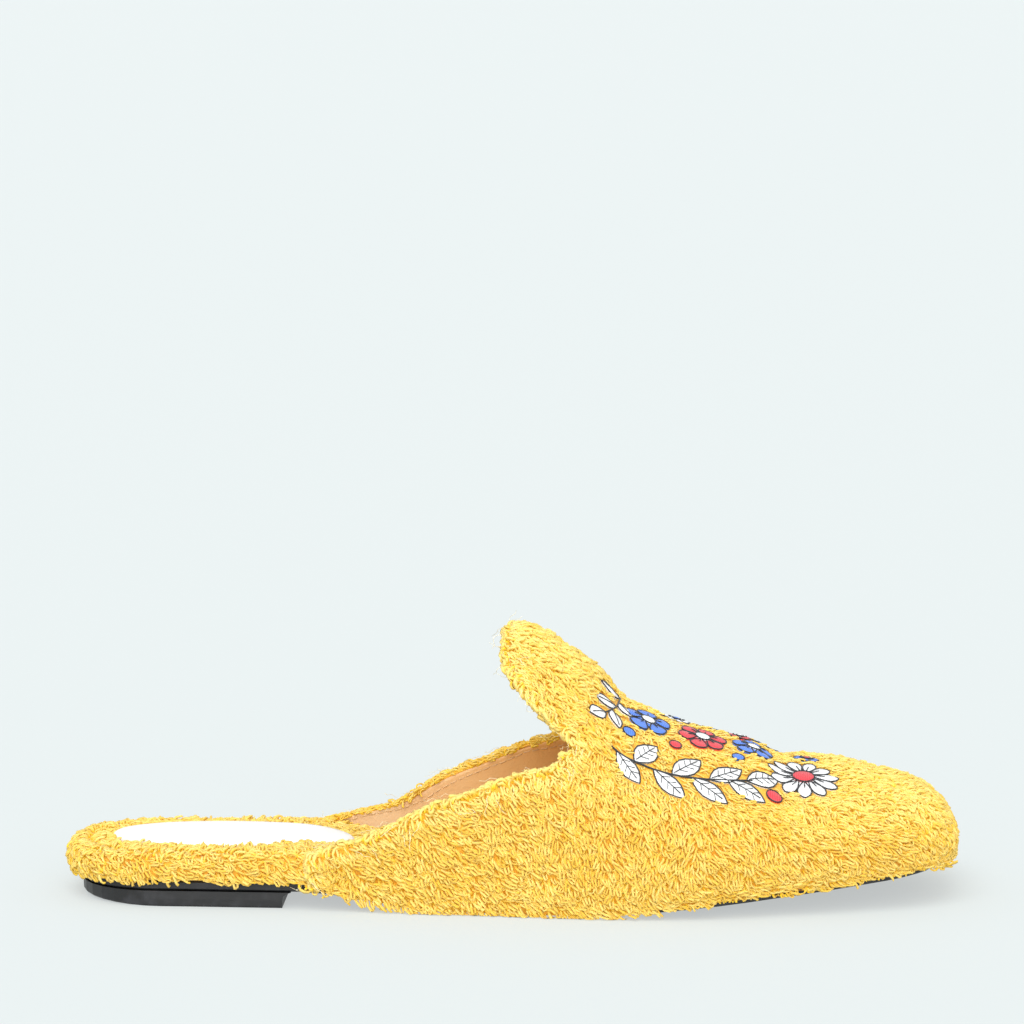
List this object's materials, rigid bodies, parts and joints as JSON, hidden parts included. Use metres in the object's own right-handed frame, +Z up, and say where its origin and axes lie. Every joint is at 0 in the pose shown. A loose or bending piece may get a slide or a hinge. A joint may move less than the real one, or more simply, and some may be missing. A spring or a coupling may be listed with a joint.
{
  "type": "backless slipper",
  "caption": "Flat backless slipper in looped terry with a high tongue, blunt toe, low heel block and leather heel pad.",
  "frame": {"origin": "centre of the shoe's bounding box in X and Y, on the floor that heel and forefoot stand on", "axes": "+X from the heel towards the toe, +Y towards the inner side of the right foot, +Z up"},
  "size_m": [0.268, 0.0946, 0.0814],
  "materials": {
    "outsole": "satin",
    "heel": "satin",
    "footbed": "looped terry",
    "heel_pad": "smooth",
    "upper": "looped terry"
  },
  "bodies": {
    "root": {"outsole": "outsole", "heel": "heel", "footbed": "footbed", "heel_pad": "heel_pad", "upper": "upper"}
  },
  "joints": []
}
